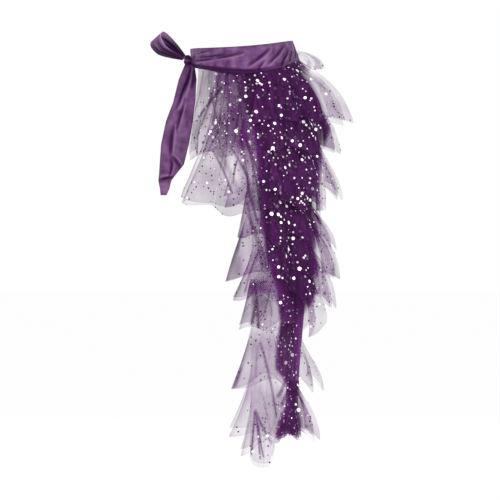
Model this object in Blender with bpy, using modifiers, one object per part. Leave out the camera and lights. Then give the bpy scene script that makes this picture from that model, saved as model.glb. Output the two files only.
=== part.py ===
"""A tie-on tulle bustle: a satin sash tied at the front, with a high-low tail of gathered tulle flounces.

Metres, +Z up. The wearer faces -X and the tail hangs down the back, at +X. The origin is the middle of
the ring that the sash makes round the hips. Angles run round the hips from the centre back, and are
positive on the tied side, -Y. Lift is the distance of a cloth out from the hip form."""

from collections import namedtuple
from math import cos, pi, radians, sin

import bmesh
import bpy
import numpy as np
from mathutils import Vector

PART = "tulle_bustle_sash"

# Walls and seams
TULLE_WALL = 0.0010
SATIN_WALL = 0.0016
SEAM_GAP = 0.0003
LAYER_PITCH = 0.0017    # between the middles of two tulle walls that lie on each other

# The general hip form that the cloth hangs round, widest at the seat and narrow at the floor
FRONT_DEPTH = 0.114
HipLevel = namedtuple("HipLevel", "height back_depth half_width")
HIP_FORM = (
    HipLevel(-0.930, 0.098, 0.118),
    HipLevel(-0.860, 0.102, 0.124),
    HipLevel(-0.700, 0.111, 0.140),
    HipLevel(-0.570, 0.122, 0.155),
    HipLevel(-0.450, 0.131, 0.169),
    HipLevel(-0.300, 0.140, 0.183),
    HipLevel(-0.160, 0.145, 0.186),
    HipLevel(-0.060, 0.129, 0.174),
    HipLevel(-0.010, 0.114, 0.163),
    HipLevel(0.040, 0.096, 0.152),
)

# The sash: deepest at the sides, drawn narrow at the front and the back, tipped up at the back
SASH_TOP = 0.0245
SASH_TOP_TIP = 0.009
SASH_TOP_DIP = 0.008
SASH_FOOT = -0.016
SASH_FOOT_TIP = 0.006
SASH_FOOT_DIP = 0.030       # on the tied side
SASH_FOOT_DIP_FAR = 0.010   # on the other, where it is drawn up
SASH_LIFT = 0.0083
SASH_CREASE = 0.0022
SASH_CREASES = 2.5
SASH_CREASE_SLANT = 1.5
SASH_START = radians(164.8)     # one end of the band, and
SASH_TURN = radians(359.4)      # how far round it goes, to leave a slit behind the knot
SASH_COLUMNS = 44
SASH_ROWS = 5

# The knot, its loop and the hanging end
KNOT_ANGLE = radians(165)
KNOT_HEIGHT = -0.0115
KNOT_RADII = (0.0090, 0.0130, 0.0140)    # out from the sash, along it, and up
KNOT_GROOVE = 0.10      # how deep the wrapped folds lie, of its radius
KNOT_SEAT = 0.0003      # how far it is drawn in towards the sash
KNOT_FOLDS_UP = 6.0
KNOT_FOLDS_ALONG = 4.0
LOOP_FORWARD = Vector((-0.756, -0.366, 0.549))
LOOP_ACROSS = Vector((0.450, -0.820, 0.360))
LOOP_COLUMNS = 22
LOOP_ROWS = 3
LoopStation = namedtuple("LoopStation", "forward spread half_width")
LOOP_ROUTE = (
    LoopStation(0.0108, 0.0030, 0.006),
    LoopStation(0.0360, 0.0065, 0.014),
    LoopStation(0.0670, 0.0095, 0.021),
    LoopStation(0.0860, 0.0075, 0.025),
    LoopStation(0.0925, -0.0025, 0.026),
    LoopStation(0.0860, -0.0135, 0.025),
    LoopStation(0.0650, -0.0195, 0.021),
    LoopStation(0.0360, -0.0120, 0.014),
    LoopStation(0.0108, -0.0035, 0.006),
)
TailRow = namedtuple("TailRow", "height front back near fold")
TAIL_ROWS = (
    TailRow(-0.0250, -0.1330, -0.1210, -0.046, 0.001),
    TailRow(-0.0400, -0.1425, -0.1095, -0.064, 0.002),
    TailRow(-0.0700, -0.1515, -0.1085, -0.078, 0.003),
    TailRow(-0.1050, -0.1600, -0.1110, -0.087, 0.004),
    TailRow(-0.1480, -0.1760, -0.1160, -0.095, 0.004),
    TailRow(-0.2000, -0.1870, -0.1250, -0.100, 0.004),
    TailRow(-0.2450, -0.1900, -0.1360, -0.102, 0.003),
    TailRow(-0.2680, -0.1915, -0.1545, -0.103, 0.003),
    TailRow(-0.2800, -0.1930, -0.1640, -0.097, 0.002),
    TailRow(-0.2980, -0.1895, -0.1680, -0.095, 0.001),
    TailRow(-0.3130, -0.1880, -0.1750, -0.096, 0.001),
)
TAIL_FOLDS = 1.0
TAIL_COLUMNS = 8

# The train panel that the flounces are sewn on, with its long folds
TRAIN_ANGLE = radians(84)
TRAIN_HEAD = -0.004
TRAIN_HEM_BACK = -0.850
TRAIN_HEM_EDGE = -0.918
TRAIN_POINT_SIDE = 0.71 # of its half width, beyond which it hangs to its full length
TRAIN_POINT_RISE = 8    # how sharply its hem rises from there to the centre back
TRAIN_CORNER_SIDE = 0.86    # of its half width, beyond which its lower corners are rounded
TRAIN_CORNER_RISE = 0.018
TRAIN_FOLDS = 9
TRAIN_FOLD_SHIFT = 0.8
TRAIN_FOLD_DEPTH = 0.010
TRAIN_FLAT = 0.061      # of its length, lies flat under the sash before the folds open
TRAIN_OPENING = 0.19    # of its length, over which they open to their full depth
TRAIN_ROW_RISE = 1.35   # the rows are closer together at the head
TRAIN_COLUMNS = 44
TRAIN_ROWS = 8

# The pale heading that stands out behind, over the foot of the sash
HEADER_ANGLE = radians(52)
HEADER_FLUTES = 6
HEADER_FADE = 0.55      # how much less it stands off at its ends
HEADER_COLUMNS = 28
HeaderRow = namedtuple("HeaderRow", "height lift ripple")
HEADER_ROWS = (
    HeaderRow(-0.003, 0.0000, 0.000),
    HeaderRow(0.006, 0.0035, 0.001),
    HeaderRow(0.008, 0.0145, 0.003),
    HeaderRow(0.000, 0.0305, 0.006),
    HeaderRow(-0.013, 0.0405, 0.009),
    HeaderRow(-0.029, 0.0365, 0.011),
)

# The flounces, innermost first. A flounce is sewn to the train, to the hips' form under the sash, or to
# the foot of the sash, which its head is then measured from. The other heights are of the gathered head
# and of the hem, at the centre back and at the front edges. Reach is how far the hem stands out there,
# and a higher puff keeps the cloth close for longer before it stands out. The front edges lie at
# edge_angle degrees from the centre back, and their corners hang lower by corner and swing forward by
# swing degrees, mostly near the hem where swing_rise is well over 1. Point is how much lower a flute's
# crest hangs than its hollow.
SWING_RISE = 1.3
Flounce = namedtuple(
    "Flounce",
    "name sewn_to head_back head_edge hem_back hem_edge reach_back reach_edge"
    " edge_angle corner swing flutes point puff swing_rise",
    defaults=(SWING_RISE,),
)
FLOUNCE_TABLE = (
    ("tail_flounce_09", "train", -0.745, -0.745, -0.834, -0.886, 0.022, 0.026, 82, 0.008, 12, 6, 0.018, 1.3),
    ("tail_flounce_08", "train", -0.728, -0.668, -0.836, -0.812, 0.064, 0.03, 82, 0.034, 22, 8, 0.024, 1.1, 1.5),
    ("tail_flounce_07", "train", -0.6, -0.585, -0.714, -0.704, 0.066, 0.028, 81, 0.042, 21, 6, 0.034, 1.9, 1.1),
    ("tail_flounce_06", "train", -0.47, -0.47, -0.63, -0.585, 0.062, 0.03, 84, 0.022, 11, 6, -0.034, 1.2),
    ("tail_flounce_05", "train", -0.4, -0.41, -0.53, -0.508, 0.08, 0.032, 82, 0.036, 18, 8, 0.034, 1.2),
    ("tail_flounce_04", "train", -0.345, -0.345, -0.484, -0.458, 0.083, 0.03, 86, 0.048, 20, 8, 0.014, 1.1, 0.8),
    ("tail_flounce_03", "train", -0.325, -0.25, -0.402, -0.376, 0.07, 0.03, 87, 0.03, 9, 8, 0.03, 1.1),
    ("hip_flounce_long", "hips", -0.007, -0.007, -0.334, -0.354, 0.042, 0.044, 124, -0.034, 27, 10, 0.014, 3, 3.5),
    ("tail_flounce_02", "hips", -0.07, -0.07, -0.284, -0.28, 0.078, 0.034, 89, 0.044, 16, 8, 0.034, 4.0),
    ("hip_flounce_short", "hips", -0.007, -0.007, -0.204, -0.222, 0.068, 0.016, 155, 0.008, 6, 12, 0.012, 2.6),
    ("tail_flounce_01", "sash", -0.0007, -0.0007, -0.138, -0.14, 0.097, 0.04, 80, 0.022, 8, 8, 0.012, 0.7),
)
FLOUNCES = [Flounce(*row) for row in FLOUNCE_TABLE]
FLUTE_DEPTH = 0.50      # of the reach, between a flute's crest and its hollow
FLUTE_WANDER = 0.05     # how far the flutes shift along the hem, of half its length
WANDER_WAVES = 5.0
WANDER_START = 40.0     # sets where each flounce's shifts begin, from its head's height
POINT_SHARPNESS = 1.5
CORNER_SHARPNESS = 8
COLUMNS_PER_FLUTE = 5
FLOUNCE_ROWS = 3
LONG_FLOUNCE_ROWS = 6

# The raster that keeps each layer clear of those under it
CELL_ANGLE = radians(1.5)
CELL_HEIGHT = 0.004
CELLS_HALF_ROUND = 120
CELLS_DOWN = 250
RASTER_TOP = 0.040
HEAD_WINDOW = 0.001     # a head is sewn down, so it clears only what lies at its own height
TWIST_SHARE = 0.25      # how far a bent quad's two triangles stand off its middle, of its twist

COLLECTION = bpy.data.collections.new(PART)


def clear_scene():
    for item in list(bpy.data.objects):
        bpy.data.objects.remove(item, do_unlink=True)
    bpy.context.scene.collection.children.link(COLLECTION)


def fabric(name, colour, roughness):
    material = bpy.data.materials.new(name)
    material.use_nodes = True
    shader = material.node_tree.nodes["Principled BSDF"]
    shader.inputs["Base Color"].default_value = (*colour, 1.0)
    shader.inputs["Roughness"].default_value = roughness
    shader.inputs["Metallic"].default_value = 0.0
    return material


def mix(start, end, share):
    return start + (end - start) * share


def read_table(table, key, value, column):
    """The value of a column at a place along a table, straight between its rows."""
    places = [getattr(row, key) for row in table]
    return float(np.interp(value, places, [getattr(row, column) for row in table]))


def hip_point(angle, height, lift):
    """The point that lies lift out from the hip form."""
    back = read_table(HIP_FORM, "height", height, "back_depth")
    width = read_table(HIP_FORM, "height", height, "half_width")
    depth = back if cos(angle) > 0 else FRONT_DEPTH
    outward = Vector((cos(angle) / depth, -sin(angle) / width, 0.0)).normalized()
    return Vector((depth * cos(angle), -width * sin(angle), height)) + lift * outward


def link_cloth(name, mesh, material, wall):
    """Makes an object of an open cloth, and gives it its wall."""
    cloth = bpy.data.objects.new(name, mesh)
    COLLECTION.objects.link(cloth)
    mesh.materials.append(material)
    mesh.shade_smooth()
    thickness = cloth.modifiers.new("wall", "SOLIDIFY")
    thickness.thickness = wall
    thickness.offset = 0.0
    return cloth


def make_cloth(name, columns, rows, point_at, material, wall):
    """A grid of cloth whose points are placed by point_at(column, row), row 0 at its head."""
    grid = bmesh.new()
    bmesh.ops.create_grid(grid, x_segments=columns, y_segments=rows, size=0.5)
    for vert in grid.verts:
        column = round((vert.co.x + 0.5) * columns)
        row = round((0.5 - vert.co.y) * rows)
        vert.co = point_at(column, row)
    mesh = bpy.data.meshes.new(name)
    grid.to_mesh(mesh)
    grid.free()
    return link_cloth(name, mesh, material, wall)


def fine_steps(length, cell):
    """Shares of a length, from end to end, less than a cell apart."""
    return np.linspace(0.0, 1.0, int(abs(length) / cell) + 3)


class ClothStack:
    """The highest cloth laid so far over the hip form, on a raster of angle and height."""

    def __init__(self):
        self.lift = np.zeros((2 * CELLS_HALF_ROUND + 1, CELLS_DOWN + 1))

    def cells(self, angle, height, half_width, half_height):
        """The cells of a window round a place."""
        along = angle / CELL_ANGLE + CELLS_HALF_ROUND
        down = (RASTER_TOP - height) / CELL_HEIGHT
        wide = half_width / CELL_ANGLE
        tall = half_height / CELL_HEIGHT
        columns = slice(max(0, round(along - wide)), max(1, round(along + wide) + 1))
        return self.lift[columns, max(0, round(down - tall)):round(down + tall) + 1]

    def clear_lift(self, angle, height, half_width, half_height):
        """The lowest lift that clears every cloth laid so far, over a window."""
        return float(self.cells(angle, height, half_width, half_height).max()) + LAYER_PITCH

    def lay(self, net):
        """Adds a cloth whose net holds rows of (angle, height, lift), straight between its points."""
        for upper, lower in zip(net, net[1:]):
            corners = zip(upper, upper[1:], lower, lower[1:])
            for upper_left, upper_right, lower_left, lower_right in corners:
                twist = abs(upper_left[2] + lower_right[2] - upper_right[2] - lower_left[2])
                for across in fine_steps(upper_left[0] - upper_right[0], CELL_ANGLE):
                    top = mix(np.array(upper_left), np.array(upper_right), across)
                    foot = mix(np.array(lower_left), np.array(lower_right), across)
                    for down in fine_steps(top[1] - foot[1], CELL_HEIGHT):
                        angle, height, lift = mix(top, foot, down)
                        near = self.cells(angle, height, 0.5 * CELL_ANGLE, 0.5 * CELL_HEIGHT)
                        np.maximum(near, lift + TWIST_SHARE * twist, out=near)


def lay_cloth(name, columns, rows, plan, stack, material):
    """Lays a cloth planned by plan(across, down) over the stack, and makes it."""
    lines = [[(column / columns, row / rows) for column in range(columns + 1)]
             for row in range(rows + 1)]
    places = [[plan(across, down) for across, down in line] for line in lines]
    column_width = abs(places[0][0][0] - places[0][1][0])
    row_height = abs(places[0][0][1] - places[1][0][1])
    net = []
    for row, line in enumerate(places):
        half_height = 0.5 * row_height if row else HEAD_WINDOW
        cleared = []
        for angle, height, lift in line:
            lowest = stack.clear_lift(angle, height, column_width, half_height)
            cleared.append((angle, height, max(lift, lowest)))
        net.append(cleared)
    stack.lay(net)
    return make_cloth(
        name, columns, rows, lambda column, row: hip_point(*net[row][column]), material, TULLE_WALL
    )


def make_train(stack, material):
    def plan(across, down):
        side = 1.0 - 2.0 * across
        angle = TRAIN_ANGLE * side
        hem = mix(TRAIN_HEM_BACK, TRAIN_HEM_EDGE, min(1.0, (side / TRAIN_POINT_SIDE) ** TRAIN_POINT_RISE))
        rounded = max(0.0, abs(side) - TRAIN_CORNER_SIDE) / (1.0 - TRAIN_CORNER_SIDE)
        hem += TRAIN_CORNER_RISE * rounded ** 2
        uneven = TRAIN_FOLD_SHIFT * sin(WANDER_WAVES * side)
        fold = 0.5 - 0.5 * cos(2.0 * pi * TRAIN_FOLDS * across + uneven)
        fallen = down ** TRAIN_ROW_RISE
        opened = min(1.0, max(0.0, (fallen - TRAIN_FLAT) / TRAIN_OPENING))
        return angle, mix(TRAIN_HEAD, hem, fallen), TRAIN_FOLD_DEPTH * fold * opened

    return lay_cloth("train_panel", TRAIN_COLUMNS, TRAIN_ROWS, plan, stack, material)


def make_flounce(row, stack, material):
    """A gathered flounce: smooth at its head, fluted and flared at its hem, with pointed front corners."""
    columns = row.flutes * COLUMNS_PER_FLUTE
    rows = LONG_FLOUNCE_ROWS if row.sewn_to == "hips" else FLOUNCE_ROWS
    start = row.flutes * row.head_back * WANDER_START

    def plan(across, down):
        side = 1.0 - 2.0 * across
        edge = side ** 4
        corner = abs(side) ** CORNER_SHARPNESS
        wander = FLUTE_WANDER * sin(WANDER_WAVES * side + start) * (1.0 - edge)
        swing = radians(row.swing) * corner * down ** row.swing_rise
        angle = (side + wander) * radians(row.edge_angle) + side * swing
        flute = 0.5 + 0.5 * cos(pi * row.flutes * side)
        reach = mix(row.reach_back, row.reach_edge, side * side)
        lift = reach * sin(0.5 * pi * down) ** row.puff * (1.0 - FLUTE_DEPTH * (1.0 - flute))
        head = mix(row.head_back, row.head_edge, edge)
        if row.sewn_to == "sash":
            head += sash_foot(angle)
            lift = max(lift, SASH_LIFT)
        hem = mix(row.hem_back, row.hem_edge, edge) - row.corner * corner
        drop = head - hem + row.point * flute ** POINT_SHARPNESS * (1.0 - corner)
        return angle, head - drop * down, lift

    return lay_cloth(row.name, columns, rows, plan, stack, material)


def make_header(material):
    """The heading: up over the foot of the sash, then out and down."""
    rows = len(HEADER_ROWS) - 1

    def point_at(column, row):
        side = 1.0 - 2.0 * column / HEADER_COLUMNS
        angle = HEADER_ANGLE * side
        level = HEADER_ROWS[row]
        ripple = level.ripple * cos(pi * HEADER_FLUTES * side)
        stand_off = (level.lift + ripple) * (1.0 - HEADER_FADE * abs(side) ** 3)
        return hip_point(angle, level.height, sash_face(angle) + TULLE_WALL + stand_off)

    return make_cloth("header_ruffle", HEADER_COLUMNS, rows, point_at, material, TULLE_WALL)


def make_sash_band(material):
    def point_at(column, row):
        angle = SASH_START - SASH_TURN * column / SASH_COLUMNS
        side = sin(angle) ** 2
        top = SASH_TOP + SASH_TOP_TIP * cos(angle) - SASH_TOP_DIP * side
        foot = sash_foot(angle)
        across = row / SASH_ROWS
        crease = 0.5 - 0.5 * cos(2.0 * pi * SASH_CREASES * across + SASH_CREASE_SLANT * sin(angle))
        return hip_point(angle, mix(top, foot, across), SASH_LIFT + SASH_CREASE * crease * side)

    return make_cloth("sash_band", SASH_COLUMNS, SASH_ROWS, point_at, material, SATIN_WALL)


def sash_foot(angle):
    """The height of the sash's lower edge."""
    dip = mix(SASH_FOOT_DIP_FAR, SASH_FOOT_DIP, 0.5 + 0.5 * sin(angle))
    return SASH_FOOT + SASH_FOOT_TIP * cos(angle) - dip * sin(angle) ** 2


def sash_face(angle):
    """The lift that clears the creases on the outside of the sash by a seam's gap."""
    return SASH_LIFT + SASH_CREASE * sin(angle) ** 2 + 0.5 * SATIN_WALL + SEAM_GAP


def knot_frame():
    """The knot's middle, and its directions out from the sash, along it and up."""
    middle = hip_point(KNOT_ANGLE, KNOT_HEIGHT, sash_face(KNOT_ANGLE) + KNOT_RADII[0] - KNOT_SEAT)
    outward = hip_point(KNOT_ANGLE, KNOT_HEIGHT, 1.0) - hip_point(KNOT_ANGLE, KNOT_HEIGHT, 0.0)
    up = Vector((0.0, 0.0, 1.0))
    return middle, outward, up.cross(outward), up


def make_knot(material):
    middle, outward, along, up = knot_frame()
    ball = bmesh.new()
    bmesh.ops.create_icosphere(ball, subdivisions=3, radius=1.0)
    for vert in ball.verts:
        unit = vert.co.copy()
        folds = cos(KNOT_FOLDS_UP * unit.z + KNOT_FOLDS_ALONG * unit.y)
        groove = 1.0 - KNOT_GROOVE * (0.5 + 0.5 * folds)
        local = (unit.x * KNOT_RADII[0], unit.y * KNOT_RADII[1], unit.z * KNOT_RADII[2])
        vert.co = middle + groove * (local[0] * outward + local[1] * along + local[2] * up)
    mesh = bpy.data.meshes.new("sash_knot")
    ball.to_mesh(mesh)
    ball.free()
    mesh.materials.append(material)
    mesh.shade_smooth()
    COLLECTION.objects.link(bpy.data.objects.new("sash_knot", mesh))


def smooth_route(stations, share, column):
    """A column of a table of stations, read along a smooth curve through them."""
    last = len(stations) - 1
    place = share * last
    start = min(int(place), last - 1)
    local = place - start
    values = [getattr(stations[min(max(start + step, 0), last)], column) for step in (-1, 0, 1, 2)]
    before, near, far, after = values
    slope_near = 0.5 * (far - before)
    slope_far = 0.5 * (after - near)
    rise = far - near
    return (
        near
        + slope_near * local
        + (3.0 * rise - 2.0 * slope_near - slope_far) * local ** 2
        + (slope_near + slope_far - 2.0 * rise) * local ** 3
    )


def make_sash_loop(material):
    """The bow loop: out of the knot, round and back into it, gathered at both ends."""
    middle = knot_frame()[0]
    spread_way = LOOP_FORWARD.cross(LOOP_ACROSS)

    def point_at(column, row):
        share = column / LOOP_COLUMNS
        forward = smooth_route(LOOP_ROUTE, share, "forward")
        spread = smooth_route(LOOP_ROUTE, share, "spread")
        half_width = smooth_route(LOOP_ROUTE, share, "half_width")
        across = 1.0 - 2.0 * row / LOOP_ROWS
        return middle + forward * LOOP_FORWARD + spread * spread_way + across * half_width * LOOP_ACROSS

    return make_cloth("sash_loop", LOOP_COLUMNS, LOOP_ROWS, point_at, material, SATIN_WALL)


def make_sash_tail(material):
    """The hanging end: wide, with a soft fold down its middle, and turned up at its foot."""
    def point_at(column, row):
        level = TAIL_ROWS[row]
        across = column / TAIL_COLUMNS
        fold = level.fold * cos(TAIL_FOLDS * 2.0 * pi * across)
        return Vector((mix(level.front, level.back, across), level.near - fold, level.height))

    rows = len(TAIL_ROWS) - 1
    return make_cloth("sash_tail", TAIL_COLUMNS, rows, point_at, material, SATIN_WALL)


def main():
    clear_scene()
    satin = fabric("purple_satin", (0.175, 0.075, 0.195), 0.35)
    tulle = fabric("purple_tulle", (0.200, 0.090, 0.220), 0.70)
    stack = ClothStack()
    make_train(stack, tulle)
    for row in FLOUNCES:
        make_flounce(row, stack, tulle)
    make_header(tulle)
    make_sash_band(satin)
    make_knot(satin)
    make_sash_loop(satin)
    make_sash_tail(satin)


main()
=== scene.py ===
"""Dresses the tie-on tulle bustle: see-through net with gathers and foil dots, and a creased satin sash.

Metres, +Z up. The wearer faces -X and the tail hangs down the back, at +X. Angles run round the hips from
the centre back, and are positive on the tied side, -Y. Lift is the distance of a cloth out from the hip
form. Each cloth is worked out as arrays of places, row by row from its head to its hem."""

from collections import namedtuple
from math import pi, radians

import bmesh
import bpy
import numpy as np
from mathutils import Matrix, Vector


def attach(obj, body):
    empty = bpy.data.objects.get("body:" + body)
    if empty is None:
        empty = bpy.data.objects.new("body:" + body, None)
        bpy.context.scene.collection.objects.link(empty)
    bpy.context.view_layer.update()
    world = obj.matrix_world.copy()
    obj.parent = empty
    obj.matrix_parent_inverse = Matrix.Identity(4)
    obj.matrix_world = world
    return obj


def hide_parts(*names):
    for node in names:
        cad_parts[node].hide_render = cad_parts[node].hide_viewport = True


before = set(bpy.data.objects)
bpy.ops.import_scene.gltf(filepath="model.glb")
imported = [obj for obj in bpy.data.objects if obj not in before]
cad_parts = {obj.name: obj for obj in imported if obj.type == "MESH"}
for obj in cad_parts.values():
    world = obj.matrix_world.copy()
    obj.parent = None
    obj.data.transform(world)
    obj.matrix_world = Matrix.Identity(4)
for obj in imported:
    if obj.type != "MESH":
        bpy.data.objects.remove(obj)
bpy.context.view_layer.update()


def table(columns, rows, defaults=()):
    """Rows with named columns. One whose name ends in _mm is in millimetres, and is kept in metres."""
    names = columns.split()
    named = namedtuple("Row", [name.removesuffix("_mm") for name in names])
    made = []
    for row in rows:
        row = row + defaults[len(defaults) + len(row) - len(names):]
        values = [value / 1000.0 if name.endswith("_mm") else value for name, value in zip(names, row)]
        made.append(named(*values))
    return made


# ---- the form that the cloth hangs on
FRONT_DEPTH = 0.114
HIP_FORM = table("height_mm back_depth_mm half_width_mm", (
    (-930, 98, 118), (-860, 102, 124), (-700, 111, 140), (-570, 122, 155), (-450, 131, 169),
    (-300, 140, 183), (-160, 145, 186), (-60, 129, 174), (-10, 114, 163), (40, 96, 152),
))

# ---- the sash
SASH_TOP = 0.0245
SASH_TOP_TIP = 0.009
SASH_TOP_DIP = 0.008
SASH_FOOT = -0.016
SASH_FOOT_TIP = 0.006
SASH_FOOT_DIP = 0.03
SASH_FOOT_DIP_FAR = 0.01
SASH_LIFT = 0.0083
SASH_CREASE = 0.0022
SASH_CREASES = 2.5
SASH_CREASE_SLANT = 1.5
SASH_START = radians(164.8)
SASH_TURN = radians(359.4)
SASH_ROLL = 0.0016      # how far the rolled lower edge stands out
ROLL_FROM = 0.86        # of the band's height, where it does so,
ROLL_TOP = (0.77, 0.87) # where its painted shade begins,
ROLL_SHADE = (radians(20), radians(85))     # and at which angles
TOP_EDGE_SHADE = (0.7, 0.02)    # how dark the painted shade along its upper edge is, and how far down, of its height
BACK_SHADE = 0.28       # how much painted shade darkens the satin at the back, fading out between these angles
BACK_SHADE_FADE = (radians(60), radians(20))
SATIN_DENTS = 0.0005
SATIN_WALL = 0.0011
SOLID_SATIN_WALL = 0.0016
SOLID_TULLE_WALL = 0.001
SEAM_GAP = 0.0003

# Creases are lines across a cloth. On the band, across is the angle in degrees and down is the share of
# its height
CREASE = "across_1 down_1 across_2 down_2 depth_mm half_width_mm"
PAINTED_SHADE_SPREAD = 2.1     # how much wider than the crease its shade is
# the crease depth at which its painted shade is full
FULL_SHADE_DEPTH = 0.0016
RIDGE_SHARE = 0.55      # how high the ridge beside a crease stands, of its depth
CREASE_PLAY = 0.7       # how deep the creases of the band are cut, of their depth
DEGREE_LENGTH = 0.0028
BAND_DEPTH = 0.056
BAND_CREASES = table(CREASE, (
    (155, 0.72, 122, 0.45, 2.8, 2.2), (124, 0.46, 90, 0.22, 2.4, 1.9), (148, 0.5, 108, 0.27, 2, 1.6),
    (150, 0.3, 128, 0.14, 1.2, 1.6), (88, 0.72, 61, 0.16, 2.2, 2.6), (78, 0.86, 70, 0.6, 1.4, 2),
    (68, 0.76, 40, 0.17, 2.6, 2.4), (54, 0.95, 33, 0.36, 3, 2.4), (40, 0.92, 26, 0.42, 1.8, 2.2),
    (24, 0.85, 10, 0.3, 1.6, 2.4), (6, 0.75, -12, 0.25, 1.6, 2.4), (-18, 0.8, -38, 0.3, 1.8, 2.4),
    (-44, 0.85, -62, 0.25, 2, 2.4), (-66, 0.7, -88, 0.2, 1.8, 2.4), (-92, 0.3, -124, 0.46, 2.2, 2),
    (-122, 0.46, -157, 0.64, 2.6, 2.2), (-104, 0.62, -150, 0.8, 1.8, 1.8),
))

# ---- the knot, its loop and the hanging end
KNOT_ANGLE = radians(165)
KNOT_HEIGHT = -0.0115
KNOT_RADII = (0.009, 0.013, 0.014)
KNOT_GROOVE = 0.14
KNOT_SEAT = 0.0003
KNOT_FOLDS = (0.0, 4.0, 6.0)        # how fast its folds follow on each other, outward, along and up,
KNOT_FINE_FOLDS = (2.0, -9.0, 17.0) # and its small folds
KNOT_FINE_GROOVE = 0.02
# how much painted shade lies over all the knot; its grooves get more
KNOT_SHADE = 0.55
LOOP_FORWARD = (-0.756, -0.366, 0.549)
LOOP_ACROSS = (0.45, -0.82, 0.36)
LOOP_ROUTE = table("forward_mm spread_mm half_width_mm", (
    (10.8, 3, 6), (36, 6.5, 14), (67, 9.5, 21), (86, 7.5, 25), (92.5, -2.5, 26),
    (86, -13.5, 25), (65, -19.5, 21), (36, -12, 14), (10.8, -3.5, 6),
))
LOOP_MIDDLE = 0.05      # how far forward of the knot its middle lies
LOOP_RIM = (1.0, 0.07)  # how light the painted highlight along its edges is, and how wide, of its width
# Painted shade near the knot and on the loop's underside
LOOP_ROOT_SHADE = 0.85
LOOP_UNDER_SHADE = 0.75
LOOP_RIPPLE = 0.0012
LOOP_CREASE_PLAY = 0.8
LOOP_NARROW = 0.012     # its folds get shallower where its half width is less
LOOP_WIDTH = 0.042
LOOP_LENGTH = 0.19
# On the loop, across is the share of its width and down is the share of its way round
LOOP_CREASES = table(CREASE, (
    (0.46, 0.02, 0.52, 0.38, 2.4, 2.6), (0.76, 0.03, 0.82, 0.3, 2, 2.2),
    (0.34, 0.98, 0.28, 0.58, 2.4, 2.5), (0.68, 0.98, 0.73, 0.62, 2.2, 2.3),
    (0.52, 0.88, 0.46, 0.66, 1.2, 2),
))
TAIL_ROWS = table("height_mm front_mm back_mm near_mm fold_mm", (
    (-18, -133, -120, -46, 0), (-27, -137, -112, -56, -0.5), (-55, -148, -108, -72, -1),
    (-105, -160, -111, -87, -1.5), (-148, -176, -116, -95, -1.5), (-200, -187, -125, -100, -1.5),
    (-245, -190, -136, -102, -1.5), (-268, -191.5, -154.5, -103, -1), (-280, -193, -164, -97, -0.5),
    (-298, -189.5, -168, -95, 0), (-313, -188, -175, -96, 0),
))
TAIL_WIDTH = 0.052
TAIL_LENGTH = 0.285
TAIL_DENTS = 0.0008
TURN_UP = (0.9, 0.92)  # of its length, where its foot is turned up
# how light the painted light on its turned-up foot is
TURN_UP_LIGHT = 0.22
TAIL_HEAD_SHADE = (0.7, 0.04)   # how dark the painted shade is along three of its edges, and how far from each
TAIL_BACK_SHADE = (0.6, 0.07)
TAIL_FRONT_SHADE = (0.5, 0.05)
TAIL_INSIDE = (-0.15, 0.1, -0.15)   # a point on its far side
# On the hanging end, across is the share of its width and down is the share of its length
TAIL_CREASES = table(CREASE, (
    (0.66, 0.02, 0.34, 0.26, 4.2, 4.2), (0.9, 0.03, 0.8, 0.2, 1.6, 4), (0.62, 0.05, 0.37, 0.21, 3, 1.8),
    (0.44, 0.12, 0.22, 0.36, 2.4, 2.6), (0.52, 0.3, 0.46, 0.52, 1.8, 2), (0.3, 0.46, 0.4, 0.72, 2.4, 2.4),
    (0.4, 0.71, 0.7, 0.87, 2.4, 2.2), (0.42, 0.7, 0.97, 0.8, 2.4, 2.2),
    (0.03, 0.885, 0.97, 0.865, 3.8, 2.8),
))

# ---- the train and the flounces
TRAIN_ANGLE = radians(84)
TRAIN_HEAD = -0.004
TRAIN_HEM_BACK = -0.85
TRAIN_HEM_EDGE = -0.918
TRAIN_POINT_SIDE = 0.71
TRAIN_POINT_RISE = 8
TRAIN_CORNER_SIDE = 0.86
TRAIN_CORNER_RISE = 0.018
TRAIN_FOLDS = 9
TRAIN_FOLD_SHIFT = 0.8
TRAIN_FOLD_DEPTH = 0.01
TRAIN_FLAT = 0.061
TRAIN_OPENING = 0.19
TRAIN_ROW_RISE = 1.35
HEADER_ANGLE = radians(52)
HEADER_FLUTES = 6
HEADER_SEAM = 0.3      # the share of its drop that has no dots
HEADER_FADE = 0.55
HEADER_ROWS = table("height_mm lift_mm ripple_mm", (
    (-3, 0, 0), (6, 3.5, 1), (8, 14.5, 3), (0, 30.5, 6), (-13, 40.5, 9), (-29, 36.5, 11),
))
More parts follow.
